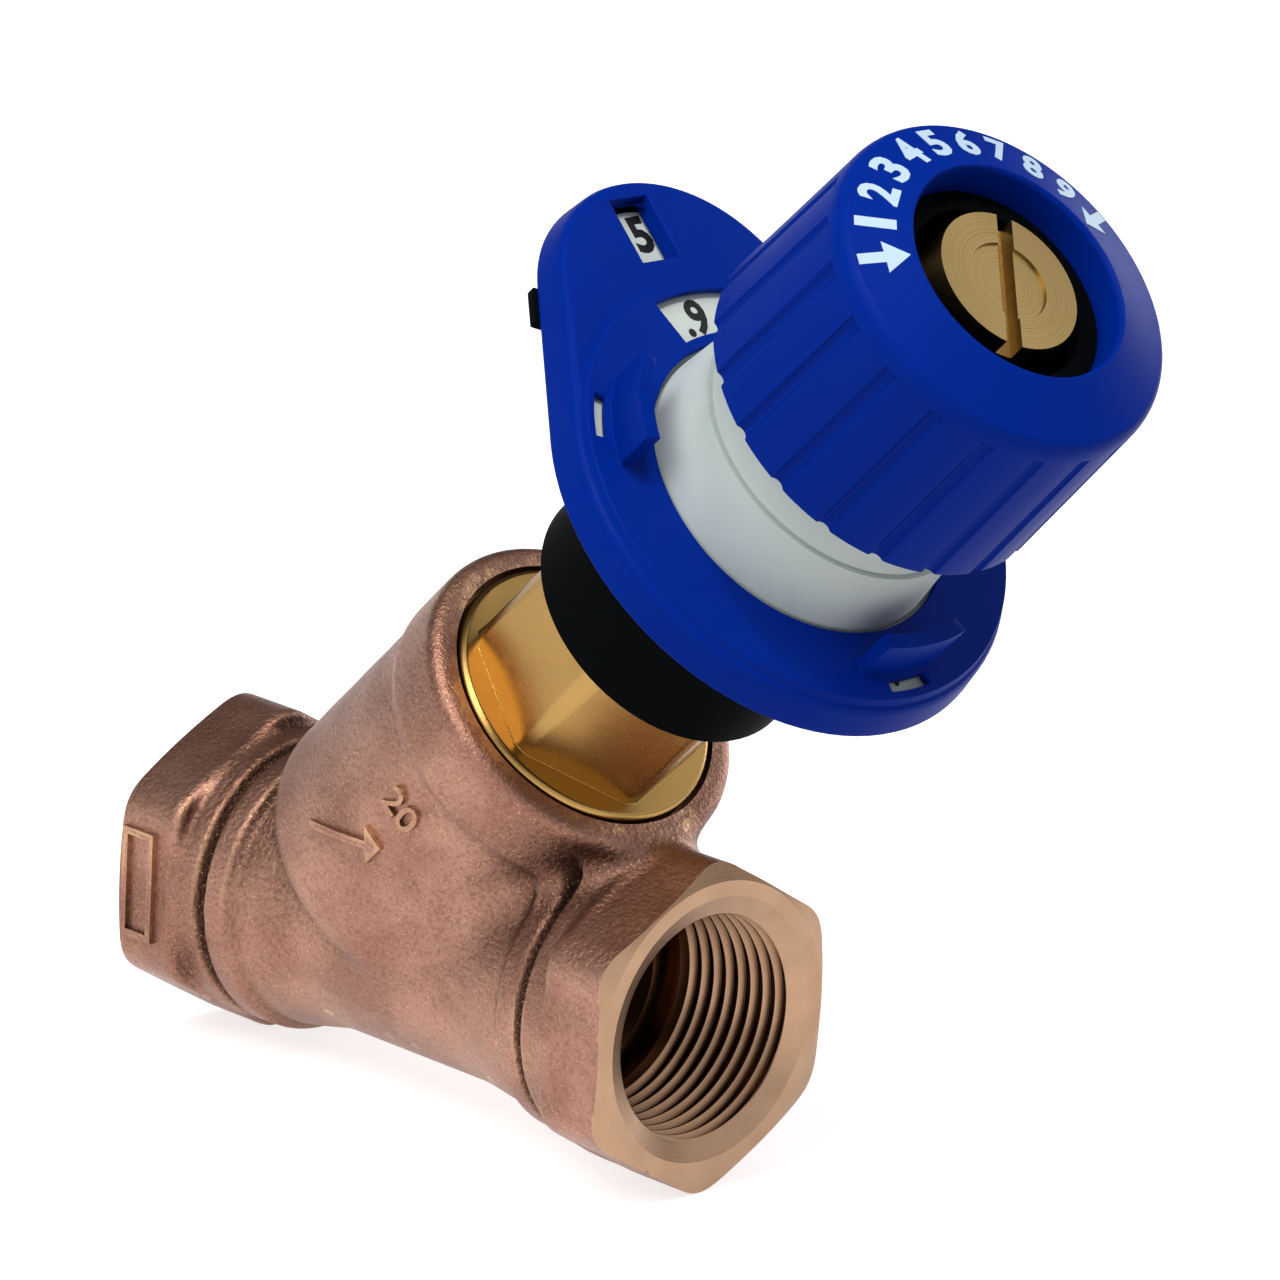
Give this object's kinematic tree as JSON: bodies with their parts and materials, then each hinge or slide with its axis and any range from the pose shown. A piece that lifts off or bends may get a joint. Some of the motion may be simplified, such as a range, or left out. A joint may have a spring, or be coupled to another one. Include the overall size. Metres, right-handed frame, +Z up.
{
  "type": "double regulating balancing valve",
  "caption": "Oblique-bonnet balancing valve with two threaded ports, grooved handwheel, numbered opening display and memory stop.",
  "frame": {"origin": "centre of the inlet mouth, on the pipe axis at the inlet end face", "axes": "+X along the pipe from inlet to outlet, +Z up in the plane of the leaning bonnet, -Y towards the viewer of the arrow side"},
  "size_m": [0.1222, 0.0528, 0.1173],
  "materials": {
    "cast_bronze": "sand-cast red bronze, ends and threads machined",
    "brass": "turned brass, bright",
    "screw_steel": "stainless steel",
    "black_rubber": "EPDM",
    "white_ptfe": "PTFE",
    "blue_plastic": "moulded, satin",
    "black_plastic": "moulded, fine texture",
    "white_plastic": "moulded"
  },
  "bodies": {
    "body": {"valve_body": "cast_bronze", "bonnet": "brass", "bonnet_seal_ring": "black_rubber", "thrust_washer": "white_ptfe", "display_base": "black_plastic", "display_clip": "screw_steel", "display_cover": "blue_plastic", "counter_axle": "screw_steel"},
    "handwheel_assembly": {"spindle": "brass", "stem_seal_rings": "black_rubber", "spindle_clip": "screw_steel", "tenths_dial": "white_plastic", "drive_sleeve": "white_plastic", "handwheel": "blue_plastic", "handwheel_nut": "screw_steel", "handwheel_insert": "black_plastic"},
    "disc_assembly": {"disc_carrier": "brass", "valve_disc": "brass", "disc_seal": "white_ptfe", "throttle_cone": "brass", "disc_screw": "screw_steel"},
    "stop_slider": {"stop_rod_seal_ring": "black_rubber"},
    "stop_screw": {"stop_rod": "brass"},
    "counter": {"number_wheel": "white_plastic"}
  },
  "joints": [
    {"name": "handwheel_turn", "type": "hinge", "parent": "body", "child": "handwheel_assembly", "pos_m": [0.10071, 0, 0.07778], "axis": [0.7071, 0, 0.7071], "range_deg": [-2124, 36]},
    {"name": "disc_lift", "type": "slide", "parent": "body", "child": "disc_assembly", "axis": [0.7071, 0, 0.7071], "range_m": [-0.00885, 0.00015]},
    {"name": "number_turn", "type": "hinge", "parent": "body", "child": "counter", "pos_m": [0.0621, 0, 0.07538], "axis": [0.7071, 0, 0.7071], "range_deg": [-5.09, 300.01]},
    {"name": "stop_slide", "type": "slide", "parent": "handwheel_assembly", "child": "stop_slider", "axis": [0.7071, 0, 0.7071], "range_m": [-0.00225, 0]},
    {"name": "stop_turn", "type": "hinge", "parent": "stop_slider", "child": "stop_screw", "pos_m": [0.10071, 0, 0.07778], "axis": [0.7071, 0, 0.7071], "range_deg": [-540.1, 0.1]}
  ],
  "couplings": [
    {"joint": "disc_lift", "follows": "handwheel_turn", "m_per_rad": 0.00023873},
    {"joint": "number_turn", "follows": "handwheel_turn", "ratio": -0.14124},
    {"joint": "stop_turn", "follows": "stop_slide", "rad_per_m": 4188.8}
  ]
}
